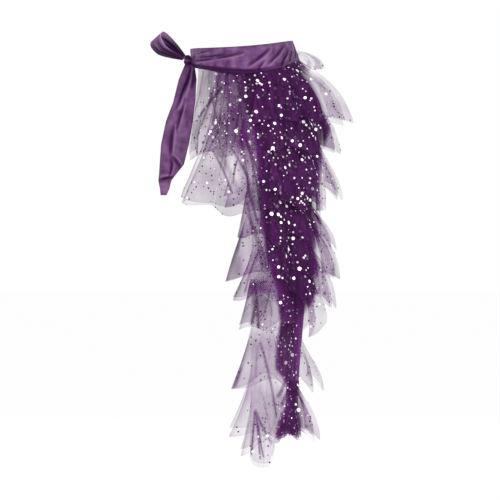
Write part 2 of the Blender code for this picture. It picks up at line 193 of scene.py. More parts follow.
FLOUNCES = table(
    "name sewn_to head_back_mm head_edge_mm hem_back_mm hem_edge_mm reach_back_mm reach_edge_mm"
    " edge_angle corner_mm swing flutes point_mm puff swing_rise", (
    ("tail_flounce_09", "train", -745, -745, -834, -886, 22, 26, 82, 8, 12, 6, 18, 1.3),
    ("tail_flounce_08", "train", -728, -668, -836, -812, 64, 30, 82, 34, 22, 8, 24, 1.1, 1.5),
    ("tail_flounce_07", "train", -600, -585, -714, -704, 66, 28, 81, 42, 21, 6, 34, 1.9, 1.1),
    ("tail_flounce_06", "train", -470, -470, -630, -585, 62, 30, 84, 22, 11, 6, -34, 1.2),
    ("tail_flounce_05", "train", -400, -410, -530, -508, 80, 32, 82, 36, 18, 8, 34, 1.2),
    ("tail_flounce_04", "train", -345, -345, -484, -458, 83, 30, 86, 48, 20, 8, 14, 1.1, 0.8),
    ("tail_flounce_03", "train", -325, -250, -402, -376, 70, 30, 87, 30, 9, 8, 30, 1.1),
    ("hip_flounce_long", "hips", -7, -7, -334, -354, 42, 44, 124, -34, 27, 10, 14, 3, 3.5),
    ("tail_flounce_02", "hips", -70, -70, -284, -280, 78, 34, 89, 44, 16, 8, 34, 4.0),
    ("hip_flounce_short", "hips", -7, -7, -204, -222, 68, 16, 155, 8, 6, 12, 12, 2.6),
    ("tail_flounce_01", "sash", -0.7, -0.7, -138, -140, 97, 40, 80, 22, 8, 8, 12, 0.7),
), defaults=(1.3,))
NET_MIDDLE = (0.03, 0.0, -0.3)  # a point inside all the net, which its faces look away from
TRAIN_GATHERS = 44
TRAIN_GATHER_SIZE = 0.6 # of those of the flounces
HEADER_GATHERS = 30
GATHERS_PER_METRE = 62
HEM_UNEVEN = 0.045      # of the drop
HEADER_UNEVEN = 0.004
FLUTE_DEPTH = 0.5
FLUTE_WANDER = 0.05
WANDER_WAVES = 5.0
WANDER_START = 40.0
POINT_SHARPNESS = 1.5
CORNER_SHARPNESS = 8

# The raster that keeps each layer clear of those under it
CELL_ANGLE = radians(1.0)
CELL_HEIGHT = 0.004
CELLS_HALF_ROUND = 180
CELLS_DOWN = 250
RASTER_TOP = 0.04
NEIGHBOURS = ((0, 0), (1, 0), (-1, 0), (0, 1), (0, -1))
LAYER_PITCH = 0.0011

# ---- how the net looks
SINGLE_COVER = 0.24     # how much of what is behind it one flat layer of net hides
GATHER_DEPTH = 0.0016   # the small gathers that run down from a seam,
GATHERS_LOST = 0.6      # and how much of that is gone at the hem
CRUMPLE_DEPTH = 0.0045  # the soft dents in the loose cloth,
CRUMPLE_LOST = 0.35     # how much of that is gone at the hem,
CRUMPLE_WAVES = 4.0     # and how many they are, besides those for each metre
CRUMPLE_WAVES_PER_METRE = 6.0
MOST_LAYERS = 14.0
# How many more layers these are worth, and over which distance that fades
SEAM_COVER = (1.2, 0.006)       # a gathered seam in the dense net,
GATHERED_COVER = (0.45, 0.1)   # the crests of the gathers below a seam,
HEM_COVER = (0.5, 0.0025)       # the hem
EDGE_COVER = (1.8, 0.0026)      # and the side edges
FOLD_COVER = 1.9        # how many more the small folds are worth
FOLDS_PER_METRE = 14
FOLD_LEAN = 0.12        # of the width, the most that a small fold leans across
CLOUDED_COVER = 0.5    # how unevenly the loose net bunches,
CLOUDED_DENSE = 0.2    # and what share of that the dense net does
CLOUDS_PER_METRE = 9.0
HEAD_FADE = 0.45        # of its drop, over which a loose flounce opens out from its gathered head
HEADER_END_FADE = 0.12
HEADER_HEAD_FADE = 0.25
# Long folds in the net, seen from the side: for each cloth, on the tied side, 1, or the other, -1
FOLD = "x_1_mm height_1_mm x_2_mm height_2_mm bend half_width_mm cover"
FOLD_USUAL = (2, 5.5)   # the half width and the cover of most of them
DRAWN_FOLDS = {
    ("hip_flounce_short", 1): ((-49, -71, -104, -141, 0, 2, 9),),
    ("hip_flounce_long", 1): (
        (-72, -214, -30, -306, 0.03), (-66, -205, -12, -312, 0.02, 6.5, 1.8),
        (-18, -238, -26, -288, -0.03), (2, -188, 37, -362, 0.02), (-2, -182, 38, -305, 0.03),
        (-31, -208, 7, -278, 0.02), (4, -262, 12, -330, -0.02),
    ),
    ("tail_flounce_02", 1): ((-10, -150, 20, -330, -0.03), (43, -195, 43, -325, 0.01)),
    ("tail_flounce_03", 1): (
        (36, -300, 32, -405, 0.02), (8, -290, 30, -380, -0.02), (4, -330, 18, -410, 0.03),
    ),
    ("tail_flounce_04", 1): (
        (-4, -372, -18, -440, 0.02), (46, -360, 52, -480, 0.01), (4, -352, 40, -476, 0.03),
    ),
    ("tail_flounce_05", 1): ((30, -440, 0, -530, -0.04),),
    ("tail_flounce_06", 1): (
        (-20, -538, 44, -506, 0.1, 5, 4), (-12, -516, 30, -512, -0.12, 3.6, 3.4),
        (2, -545, 40, -512, 0.04, 3, 4), (16, -500, 26, -585, -0.03, 3, 4),
        (20, -500, 30, -620, 0.02, 2.6, 8), (24, -545, 14, -600, 0.02, 2.6, 8),
    ),
    ("train_panel", 1): (
        (34, -640, 70, -808, 0.02), (108, -630, 118, -720, 0.02), (98, -705, 72, -764, 0.03, 3.6, 5),
        (104, -722, 80, -782, 0.02, 3.2, 5), (106, -745, 90, -798, 0.02, 3, 5),
        (104, -785, 70, -848, 0.03, 3.4, 5), (22, -790, 60, -866, -0.02), (22, -790, 14, -890, 0),
        (24, -790, 34, -900, 0),
    ),
    ("tail_flounce_07", 1): ((-4, -660, -22, -740, 0.03),),
    ("tail_flounce_04", -1): ((20, -380, 50, -480, 0.02),),
    ("train_panel", -1): ((104, -620, 94, -780, 0.03), (30, -830, 42, -905, -0.02)),
}
FOLDS = {place: table(FOLD, rows, defaults=FOLD_USUAL) for place, rows in DRAWN_FOLDS.items()}
FOLD_FADE = 0.04        # of its length, over which a fold fades at each of its ends
# Where the net is gathered densest at each height, and how densely it lies there, and before and behind
DENSE_LEVELS = table("height_mm front_mm back_mm edge_mm cover train_cover before behind", (
    (-930, 66, 128, 6, 2.6, 4.4, 0.66, 0.6), (-830, 74, 132, 6, 2.6, 4.6, 0.66, 0.6),
    (-780, 96, 130, 6, 2, 4.6, 0.72, 0.68), (-735, 96, 126, 6, 2, 4.6, 0.85, 0.75),
    (-700, 70, 118, 6, 1.9, 5, 1, 0.75), (-640, 72, 114, 6, 2, 5.2, 1, 0.65),
    (-600, 82, 116, 7, 2.8, 6.5, 1, 0.6), (-560, 80, 140, 10, 4.6, 9, 1.1, 0.62),
    (-525, 78, 160, 12, 4.6, 12, 1.25, 0.66), (-440, 56, 152, 14, 5, 12, 1.25, 0.64),
    (-360, 42, 162, 14, 5, 12, 1.25, 0.68), (-300, 38, 155, 14, 5, 12, 1.2, 0.68),
    (-210, 36, 166, 14, 6, 12, 1.2, 0.66), (-160, 26, 184, 14, 6, 12, 1.25, 0.6),
    (-100, 0, 164, 14, 5, 12, 1.3, 0.5), (-40, -10, 136, 14, 5, 12, 1.3, 0.5),
    (20, 8, 130, 14, 1.2, 1.2, 1, 0.6),
))
PALE_COVER = 0.22       # the net's colour goes from pale to a painted shade between these covers
DARK_COVER = 0.72
TRAIN_SHADE = 0.5      # the train, which nothing lies behind, gets less of the painted shade
DARK_INSET = 0.003      # how far inside its edge the dense net gets its darkest painted shade
TRAIN_DENSE_REACH = 0.021   # how much further back the train itself is dense
# The second layer over the hips: its front edge at each height, and how densely it lies
HIP_EDGE = table("height_mm front_mm", (
    (-260, -40), (-215, -100), (-185, -118), (-137, -104), (-112, -83), (-27, -84),
))
HIP_EDGE_WIDTH = 0.003
HIP_LAYER_BACK = (0.06, 0.02)       # where it fades out behind,
HIP_LAYER_FOOT = (-0.235, -0.175)   # and at its foot
HIP_LAYER_COVER = 0.42
# Soft patches where the net bunches more, or less, than that
PATCHES = table("x_mm height_mm half_width_mm half_height_mm cover", (
    (-18, -150, 18, 50, 1.3), (-24, -45, 36, 24, 0.8), (-74, -72, 12, 44, 0.9),
    (-56, -112, 14, 26, -0.6), (-24, -255, 18, 60, -1.0), (-75, -290, 30, 40, 0.35),
    (-18, -465, 12, 30, 1.2), (6, -522, 24, 14, 0.7), (40, -545, 12, 40, 0.9),
))
LEAST_LOOSE = 0.25
HEADER_COVER = 0.7
# The train alone is thin before the dense part, down to where its points begin
TRAIN_BEFORE = 0.45
TRAIN_POINTS_TOP = (-0.83, -0.87)

# ---- the cut of each cloth, as sewn
CUTS = {row.name: row for row in table("name columns rows width drop", (
    ("train_panel", 260, 150, 0.52, 0.88), ("header_ruffle", 180, 24, 0.36, 0.075),
    ("hip_flounce_short", 420, 44, 1.2, 0.23), ("hip_flounce_long", 560, 96, 1.0, 0.36),
    ("tail_flounce_01", 240, 34, 0.78, 0.16), ("tail_flounce_02", 260, 46, 0.7, 0.25),
    ("tail_flounce_03", 230, 30, 0.66, 0.13), ("tail_flounce_04", 230, 30, 0.66, 0.17),
    ("tail_flounce_05", 230, 30, 0.64, 0.17), ("tail_flounce_06", 220, 30, 0.56, 0.17),
    ("tail_flounce_07", 200, 28, 0.52, 0.15), ("tail_flounce_08", 210, 30, 0.52, 0.16),
    ("tail_flounce_09", 180, 28, 0.4, 0.14), ("sash_band", 400, 30, 1.0, 0.052),
    ("sash_loop", 120, 24, 0.175, 0.04), ("sash_tail", 40, 110, 0.06, 0.3),
))}
ROWS_CLOSER = 0.08      # how much closer together the rows of a cloth lie at its head and hem

# ---- the foil dots
DOT_GROUPS = {"hip": "hips", "train": "train"}  # by the start of a cloth's name, or else the tail
DOT_SIDES = 10
DOT_THICKNESS = 0.0004
DOT_BEVEL = 0.84        # how wide its face is, of its width
LEAST_ROOM = 0.003     # a dot that has less room than this is left out
SMALL_DOT = 0.0058      # a smaller dot may look dull
DOT_AREA = 0.0012       # of loose net for each dot
DENSE_DOTS = 0.7        # how many more of them lie on the densely gathered net,
HIGH_DOTS = 1.2         # on its upper part besides,
HIGH_DOTS_FOOT = (-0.56, -0.44)
HIP_DOTS = 1.2          # and on the second layer over the hips
DOT_SPACING = 0.0072    # between the dots on one cloth
SIDE_SPACING = 0.0048   # and between those on all the cloths of a side, seen from that side
DOT_LEAST_COVER = 0.12  # no dots where the net fades away
DOT_CLEARANCE = 0.0005
DOT_SIZES = table("share diameter_mm", (
    (0.5, 3.6), (0.3, 5.2), (0.14, 7.2), (0.06, 8.8),
))
# The share of dots painted dark all over, on loose and on dense net: a painted shade of dots seen against
# the light
DARK_SHARE_LOOSE = 0.62
DARK_SHARE_DENSE = 0.03
LOOSE_SIZE = 0.85       # the dots on loose net are smaller,
DARK_LARGEST = 0.0044   # and so are those painted dark all over, a painted shade of a dot seen against the light

# ---- colours
# The net's own colour, and the painted shade it takes where its layers lie bunched together
NET_LOOSE = (0.12, 0.015, 0.15, 1.0)
NET_PAINTED_SHADE = (0.043, 0.0075, 0.052, 1.0)
NET_SHEEN = (0.75, 0.55, 0.8, 1.0)
NET_PITCH = 0.0022      # from thread to thread of the weave
NET_STREAKS = (95.0, 95.0, 9.0)     # how fine its streaks are along each axis
# The satin's own tone lies between these two; the random blotches between them are a painted speckled sheen
SATIN_DULL = (0.055, 0.014, 0.065, 1.0)
SATIN_BRIGHT = (0.165, 0.063, 0.186, 1.0)
# The painted highlight on crease ridges, on the loop and on the tail's turned-up foot
SATIN_PAINTED_HIGHLIGHT = (0.34, 0.185, 0.365, 1.0)
# The painted shade laid into the satin: in creases, under its rolled edge, along its edges, at its back and
# over the knot
SATIN_PAINTED_SHADE = (0.026, 0.002, 0.036, 1.0)
SATIN_SHEEN = (0.8, 0.62, 0.85, 1.0)
SATIN_PITCH = 0.0009
FOIL_DULL = (0.9, 0.84, 0.93, 1.0)
FOIL_BRIGHT = (1.0, 0.99, 1.0, 1.0)
# the painted shade of a foil dot seen against the light
FOIL_PAINTED_SHADE = (0.03, 0.016, 0.036, 1.0)
FLOOR_COLOUR = (0.05, 0.05, 0.05, 1.0)
WHITE = (1.0, 1.0, 1.0, 1.0)

# ---- camera, light and floor
CAMERA_PLACE = (0.011, -12.46, -0.435)
CAMERA_LENS = 400.0
SENSOR_WIDTH = 36.0
# The lamps look at a point on the object's own axis, at the height of aim
LAMPS = table("name x y z aim size power mirrored", (
    ("key", -2.2, -3.2, 2.2, -0.35, 1.0, 85.0, True),
    ("front", 0.4, -4.6, -0.1, -0.42, 1.6, 95.0, True),
    ("fill", 3.4, -1.4, 0.6, -0.4, 1.6, 60.0, True),
    ("back", 0.8, 3.4, 1.8, -0.4, 1.6, 80.0, False),
    ("rear", 2.5, 2.0, 0.8, -0.4, 1.6, 50.0, False),
    ("hollow", -2.5, 3.4, 0.1, -0.4, 1.6, 140.0, False),
))
FLOOR_HEIGHT = -0.962
FLOOR_RADIUS = 60.0
ROOM_LIGHT = 0.55
FLOOR_GLOW = 0.96


# ==== shapes of cloth, as arrays
def column(rows, name):
    return np.array([getattr(row, name) for row in rows])


def at_height(rows, height, *names):
    """Columns of a table at heights along it, straight between its rows."""
    return [np.interp(height, column(rows, "height"), column(rows, name)) for name in names]


def along_table(rows, share, *names):
    """Columns of a table along smooth curves through its rows, from 0 at the first to 1 at the last."""
    last = len(rows) - 1
    start = np.clip((share * last).astype(int), 0, last - 1)
    local = share * last - start
    found = []
    for name in names:
        values = column(rows, name)
        before, near, far, after = (values[np.clip(start + step, 0, last)] for step in (-1, 0, 1, 2))
        slope_near = 0.5 * (far - before)
        slope_far = 0.5 * (after - near)
        rise = far - near
        found.append(
            near
            + slope_near * local
            + (3.0 * rise - 2.0 * slope_near - slope_far) * local ** 2
            + (slope_near + slope_far - 2.0 * rise) * local ** 3
        )
    return found


def mix(start, end, share):
    return start + (end - start) * share


def as_share(value):
    return np.clip(value, 0.0, 1.0)


def ease(off, on, value):
    """Goes softly from 0 where the value is off to 1 where it is on, which may be the lower."""
    share = as_share((value - off) / (on - off))
    return share * share * (3.0 - 2.0 * share)


def within(low, high, edge, value):
    """Softly 1 between low and high, and 0 outside, over an edge to each side of them."""
    return ease(low - edge, low + edge, value) * ease(high + edge, high - edge, value)


def bell(value):
    return np.exp(-value ** 2)


def fading(amount, depth, distance):
    """The amount at an edge, and less and less of it away from there."""
    return amount * np.exp(-distance / depth)


def hip_points(angle, height, lift):
    """The points that lie lift out from the hip form."""
    back, width = at_height(HIP_FORM, height, "back_depth", "half_width")
    depth = np.where(np.cos(angle) > 0.0, back, FRONT_DEPTH)
    outward = np.stack([np.cos(angle) / depth, -np.sin(angle) / width, 0.0 * angle], axis=-1)
    outward /= np.linalg.norm(outward, axis=-1, keepdims=True)
    form = np.stack([depth * np.cos(angle), -width * np.sin(angle), height + 0.0 * angle], axis=-1)
    return form + lift[..., None] * outward


def grid_shares(name):
    """Shares across and down a cloth."""
    cut = CUTS[name]
    across = np.linspace(0.0, 1.0, cut.columns + 1)
    down = np.linspace(0.0, 1.0, cut.rows + 1)
    return np.meshgrid(across, down - ROWS_CLOSER * np.sin(2 * pi * down))


def crumple(across, down, seed, waves):
    """Soft uneven dents, from -1 to 1, with about that many waves across."""
    chance = np.random.default_rng(seed)
    total = np.zeros_like(across)
    for _ in range(7):
        turn = chance.uniform(0.0, 2 * pi)
        pitch = 2 * pi * waves * chance.uniform(0.5, 1.4)
        start = chance.uniform(0.0, 2 * pi)
        total += np.sin(pitch * (np.cos(turn) * across + np.sin(turn) * down) + start)
    return total / 4.0


def gathers(across, down, seed, count):
    """Small uneven gathers that run down a cloth, from 0 in their hollows to 1 on their crests."""
    chance = np.random.default_rng(seed)
    phase = 2 * pi * count * across
    for waves in (3.0, 7.0, 13.0):
        size = chance.uniform(0.9, 1.6)
        phase = phase + size * np.sin(2 * pi * waves * across + chance.uniform(0.0, 6.0) + 0.8 * down)
    return 0.5 + 0.5 * np.cos(phase)


def fold_lines(across, down, seed, count):
    """Thin folds that run down a cloth at uneven places, from 0 between them to 1 along them."""
    chance = np.random.default_rng(seed)
    line = np.zeros_like(across)
    for _ in range(count):
        middle = chance.uniform(0.02, 0.98)
        slant = chance.uniform(-FOLD_LEAN, FOLD_LEAN)
        bend = chance.uniform(-0.4, 0.4) * FOLD_LEAN
        start = chance.uniform(-0.3, 0.45)
        end = start + chance.uniform(0.45, 1.1)
        half_width = chance.uniform(0.0022, 0.0042)
        route = middle + slant * down + bend * down * down
        shown = within(start + 0.06, end - 0.06, 0.06, down)
        line = np.maximum(line, shown * bell((across - route) / half_width))
    return line


def along_line(place, start, end):
    """How far along a line each place lies, as a share, how far aside of it, and the line's length."""
    start = np.array(start)
    way = np.array(end) - start
    length = np.linalg.norm(way)
    place = place - start
    aside = (place[..., 0] * way[1] - place[..., 1] * way[0]) / length
    return place @ way / length ** 2, aside, length


def crease_field(across, down, rows, width, length):
    """The depth of a table of creases at each place, and the painted shade in each crease and the painted
    highlight on its ridges.
    """
    depth, hollow, raised = np.zeros((3, *across.shape))
    place = np.stack([across * width, down * length], axis=-1)
    for row in rows:
        start = (row.across_1 * width, row.down_1 * length)
        along, aside, _ = along_line(place, start, (row.across_2 * width, row.down_2 * length))
        aside = aside / row.half_width
        shown = np.sqrt(as_share(4.0 * along * (1 - along)))
        ridge = shown * bell(aside - 2.0)
        shade = min(1.0, row.depth / FULL_SHADE_DEPTH)
        depth += row.depth * (shown * bell(aside) - RIDGE_SHARE * ridge)
        # Painted shade along the crease, and painted highlight on the ridge beside it
        hollow = np.maximum(hollow, shade * shown * bell(aside / PAINTED_SHADE_SPREAD))
        raised = np.maximum(raised, shade * ridge)
    return depth, hollow, raised * (1 - hollow)


class ClothStack:
    """The highest cloth laid so far over the hip form, on a raster of angle and height."""

    def __init__(self):
        self.lift = np.zeros((2 * CELLS_HALF_ROUND + 1, CELLS_DOWN + 1))

    def cells(self, angle, height):
        along = np.rint(angle / CELL_ANGLE).astype(int) + CELLS_HALF_ROUND
        down = np.rint((RASTER_TOP - height) / CELL_HEIGHT).astype(int)
        return np.clip(along, 0, 2 * CELLS_HALF_ROUND), np.clip(down, 0, CELLS_DOWN)

    def place(self, angle, height, lift):
        """The points of a cloth, lifted to clear the cloths laid so far, and laid on them."""
        grown = self.lift
        for step in NEIGHBOURS[1:]:
            grown = np.maximum(grown, np.roll(grown, step, axis=(0, 1)))
        eased = sum(np.roll(grown, step, axis=(0, 1)) for step in NEIGHBOURS) / len(NEIGHBOURS)
        lift = np.maximum(lift, eased[self.cells(angle, height)] + LAYER_PITCH)
        rows = (angle, height, lift)
        between = [0.5 * (each[1:] + each[:-1]) for each in rows]
        for field in (rows, between):
            np.maximum.at(self.lift, self.cells(*field[:2]), field[2])
        return hip_points(angle, height, lift)


# ==== how densely the net lies
def dense_share(points, reach=0.0, inset=0.0):
    """How far into the densely gathered middle of the tail each point lies."""
    front, back, edge = at_height(DENSE_LEVELS, points[..., 2], "front", "back", "edge")
    return within(front + inset, back + reach - inset, edge, points[..., 0])


def hip_layer(points):
    """How far into the second layer over the hips each point lies."""
    x, height = points[..., 0], points[..., 2]
    front, = at_height(HIP_EDGE, height, "front")
    inside = ease(front - HIP_EDGE_WIDTH, front + HIP_EDGE_WIDTH, x) * ease(*HIP_LAYER_BACK, x)
    return inside * ease(*HIP_LAYER_FOOT, height)


def layers_at(name, points, inside):
    """How many flat layers of net the gathered cloth at each point is worth."""
    x, height = points[..., 0], points[..., 2]
    on_train = name == "train_panel"
    cover = "train_cover" if on_train else "cover"
    names = ("front", "back", cover, "before", "behind")
    front, back, dense, before, behind = at_height(DENSE_LEVELS, height, *names)
    backward = ease(-0.02, 0.02, x - 0.5 * (front + back))
    loose = mix(before, behind, backward) + HIP_LAYER_COVER * hip_layer(points)
    for patch in PATCHES:
        aside = (x - patch.x) / patch.half_width
        below = (height - patch.height) / patch.half_height
        loose = loose + patch.cover * bell(aside) * bell(below)
    loose = np.maximum(loose, LEAST_LOOSE)
    if on_train:
        pointed = ease(*TRAIN_POINTS_TOP, height)
        loose = loose * mix(mix(TRAIN_BEFORE, 1.0, pointed), 1.0, backward)
    if name == "header_ruffle":
        return loose * HEADER_COVER
    return mix(loose, dense, inside)


def drawn_folds(name, points):
    """How many layers a cloth's long folds add."""
    line = np.zeros(points.shape[:2])
    for side in (1, -1):
        near = ease(0.03, 0.06, -points[..., 1] * side)
        for row in FOLDS.get((name, side), ()):
            start, end = (row.x_1, row.height_1), (row.x_2, row.height_2)
            along, aside, length = along_line(points[..., [0, 2]], start, end)
            aside = aside + row.bend * length * 4.0 * along * (1 - along)
            shown = within(0.01, 0.99, FOLD_FADE, along)
            line = np.maximum(line, row.cover * near * shown * bell(aside / row.half_width))
    return line


def net_cover(name, across, down, points, seed, gathered):
    """How much of what is behind it the net hides at each place."""
    cut = CUTS[name]
    on_train = name == "train_panel"
    inside = dense_share(points, TRAIN_DENSE_REACH * on_train)
    below = down * cut.drop
    end = np.minimum(across, 1 - across)
    layers = 1 + inside * fading(*SEAM_COVER, below) + gathered * fading(*GATHERED_COVER, below)
    clouds = crumple(across, below / cut.width, seed + 5, CLOUDS_PER_METRE * cut.width)
    layers += CLOUDED_COVER * mix(1.0, CLOUDED_DENSE, inside) * clouds
    layers += fading(*HEM_COVER, cut.drop - below)
    layers += (not on_train) * fading(*EDGE_COVER, end * cut.width)
    layers += FOLD_COVER * fold_lines(across, down, seed + 9, int(cut.width * FOLDS_PER_METRE))
    if name.startswith("tail"):
        layers *= mix(ease(0.0, HEAD_FADE, down), 1.0, inside)
    if name == "header_ruffle":
        layers *= ease(0.0, HEADER_END_FADE, end) * ease(0.0, HEADER_HEAD_FADE, down)
    layers = np.clip(layers, 0.0, MOST_LAYERS) * layers_at(name, points, inside)
    layers += drawn_folds(name, points)
    return 1 - (1 - SINGLE_COVER) ** np.minimum(layers, MOST_LAYERS)


def net_shade(name, points, cover):
    """How much painted shade darkens the net's colour, from 0 where it is loose to 1 where it is bunched
    together.
    """
    shade = as_share((cover - PALE_COVER) / (DARK_COVER - PALE_COVER))
    shade = np.maximum(shade, dense_share(points, inset=DARK_INSET))
    return shade * (TRAIN_SHADE if name == "train_panel" else 1.0)


# ==== making meshes
def mesh_of(shape, name):
    mesh = bpy.data.meshes.new(name)
    shape.to_mesh(mesh)
    shape.free()
    return mesh


def add_object(name, data):
    made = bpy.data.objects.new(name, data)
    bpy.context.scene.collection.objects.link(made)
    return made


def add_piece(name, mesh, material, replaced=None):
    """A piece of the part, in place of a node if one is given."""
    mesh.materials.append(material)
    piece = add_object(name, mesh)
    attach(piece, "root")
    if replaced:
        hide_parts(replaced)
    return piece


def vectors(items, name):
    values = np.zeros(len(items) * 3, np.float32)
    items.foreach_get(name, values)
    return values.reshape(-1, 3)


def add_look(mesh, look, values, domain="POINT"):
    made = mesh.attributes.new(look, "FLOAT", domain)
    made.data.foreach_set("value", values.astype(np.float32))


def make_cloth(name, points, middle, slot, material, held, rests_on, wall=0.0, **looks):
    """A grid of cloth through an array of points, row by row, with its cut as its UV map.

    Its faces look away from middle, a point inside it. A cloth with no wall is one thin surface."""
    cut = CUTS[name]
    grid = bmesh.new()
    bmesh.ops.create_grid(grid, x_segments=cut.columns, y_segments=cut.rows, size=0.5)
    places = grid.loops.layers.uv.new("cut")
    index = np.zeros((2, len(grid.verts)), int)
    for vert in grid.verts:
        across, down = vert.co.x + 0.5, 0.5 - vert.co.y
        index[:, vert.index] = round(down * cut.rows), round(across * cut.columns)
        for loop in vert.link_loops:
            loop[places].uv = (across * cut.width, down * cut.drop)
    mesh = mesh_of(grid, name)
    order = tuple(index)
    mesh.vertices.foreach_set("co", points[order].astype(np.float32).ravel())
    for look, shares in looks.items():
        add_look(mesh, look, shares[order])
    mesh.shade_smooth()
    mesh.update()
    away = vectors(mesh.polygons, "center") - np.array(middle)
    if (vectors(mesh.polygons, "normal") * away).sum() < 0.0:
        mesh.flip_normals()
    cloth = add_piece(name + "_cloth", mesh, material, name)
    if wall:
        thickness = cloth.modifiers.new("wall", "SOLIDIFY")
        thickness.thickness = wall
        thickness.offset = 0.0


# ==== the tulle
def lay_net(name, across, down, points, seed, gathered, rests_on, tulle, dots, dots_from=0.0):
    """Makes a cloth of net, and keeps its places for dots, which begin at a share of its drop."""
    cover = net_cover(name, across, down, points, seed, gathered)
    # The shade look is painted shade of the net's layers on each other
    looks = {"cover": cover, "shade": net_shade(name, points, cover)}
    make_cloth(name, points, NET_MIDDLE, "tulle", tulle, "gathered", rests_on, **looks)
    dots.cloths.append((name, points, cover * (down >= dots_from), seed))


def make_train(stack, tulle, dots):
    name = "train_panel"
    seed = 11
    across, down = grid_shares(name)
    side = 1 - 2 * across
    fallen = np.minimum(1.0, (side / TRAIN_POINT_SIDE) ** TRAIN_POINT_RISE)
    hem = mix(TRAIN_HEM_BACK, TRAIN_HEM_EDGE, fallen)
    rounded = np.maximum(0.0, np.abs(side) - TRAIN_CORNER_SIDE) / (1 - TRAIN_CORNER_SIDE)
    hem = hem + TRAIN_CORNER_RISE * rounded ** 2
    uneven = TRAIN_FOLD_SHIFT * np.sin(WANDER_WAVES * side)
    fold = 0.5 - 0.5 * np.cos(2 * pi * TRAIN_FOLDS * across + uneven)
    down = down ** TRAIN_ROW_RISE
    opened = as_share((down - TRAIN_FLAT) / TRAIN_OPENING)
    gathered = gathers(across, down, seed, TRAIN_GATHERS)
    lift = (TRAIN_FOLD_DEPTH * fold + TRAIN_GATHER_SIZE * GATHER_DEPTH * gathered) * opened
    points = stack.place(TRAIN_ANGLE * side, mix(TRAIN_HEAD, hem, down), lift)
    lay_net(name, across, down, points, seed, gathered, "sash_band_cloth", tulle, dots)


def make_flounce(row, seed, stack, tulle, dots):
    across, down = grid_shares(row.name)
    side = 1 - 2 * across
    edge = side ** 4
    corner = np.abs(side) ** CORNER_SHARPNESS
    start = row.flutes * row.head_back * WANDER_START
    wander = FLUTE_WANDER * np.sin(WANDER_WAVES * side + start) * (1 - edge)
    swing = radians(row.swing) * corner * down ** row.swing_rise
    angle = (side + wander) * radians(row.edge_angle) + side * swing
    flute = 0.5 + 0.5 * np.cos(pi * row.flutes * side)
    reach = mix(row.reach_back, row.reach_edge, side * side)
    lift = reach * np.sin(0.5 * pi * down) ** row.puff * (1 - FLUTE_DEPTH * (1 - flute))
    head = mix(row.head_back, row.head_edge, edge)
    if row.sewn_to == "sash":
        head = head + sash_foot(angle)
        lift = np.maximum(lift, SASH_LIFT)
    hem = mix(row.hem_back, row.hem_edge, edge) - row.corner * corner
    drop = head - hem + row.point * flute ** POINT_SHARPNESS * (1 - corner)
    width = CUTS[row.name].width
    gathered = gathers(across, down, seed, int(width * GATHERS_PER_METRE))
    loose = down * (1 - CRUMPLE_LOST * down)
    lift = lift + GATHER_DEPTH * gathered * (1 - GATHERS_LOST * down)
    dents = crumple(across, down * 0.4, seed + 1, CRUMPLE_WAVES + CRUMPLE_WAVES_PER_METRE * width)
    lift = lift + CRUMPLE_DEPTH * loose * (0.5 + 0.5 * dents)
    drop = drop * (1 + HEM_UNEVEN * crumple(across, 0.0 * down, seed + 2, 6.0))
    points = stack.place(angle, head - drop * down, lift)
    rests_on = "train_panel_cloth" if row.sewn_to == "train" else "sash_band_cloth"
    lay_net(row.name, across, down, points, seed, gathered, rests_on, tulle, dots)


def make_header(tulle, dots):
    name = "header_ruffle"
    seed = 301
    across, down = grid_shares(name)
    side = 1 - 2 * across
    angle = HEADER_ANGLE * side
    height, lift, ripple = along_table(HEADER_ROWS, down, "height", "lift", "ripple")
    gathered = gathers(across, down, seed, HEADER_GATHERS)
    lift = (lift + ripple * np.cos(pi * HEADER_FLUTES * side)) * (1 - HEADER_FADE * np.abs(side) ** 3)
    lift = lift + (GATHER_DEPTH * gathered + HEADER_UNEVEN * crumple(across, down, seed + 1, 7.0)) * down
    height = height + HEADER_UNEVEN * down * crumple(across, 0.0 * down, seed + 2, 6.0)
    points = hip_points(angle, height, sash_face(angle) + SOLID_TULLE_WALL + np.maximum(lift, 0.0))
    lay_net(name, across, down, points, seed, gathered, "sash_band_cloth", tulle, dots, HEADER_SEAM)


# ==== the satin
def sash_foot(angle):
    dip = mix(SASH_FOOT_DIP_FAR, SASH_FOOT_DIP, 0.5 + 0.5 * np.sin(angle))
    return SASH_FOOT + SASH_FOOT_TIP * np.cos(angle) - dip * np.sin(angle) ** 2


def sash_face(angle):
    """The lift that clears the creases on the outside of the solid sash by a seam's gap."""
    return SASH_LIFT + SASH_CREASE * np.sin(angle) ** 2 + 0.5 * SOLID_SATIN_WALL + SEAM_GAP


def make_satin(name, points, middle, held, rests_on, satin, hollow, raised):
    # The dark look is painted shade and the light look painted highlight, both laid into the satin's colour
    looks = {"hollow": as_share(hollow), "raised": as_share(raised)}
    make_cloth(name, points, middle, "satin", satin, held, rests_on, SATIN_WALL, **looks)


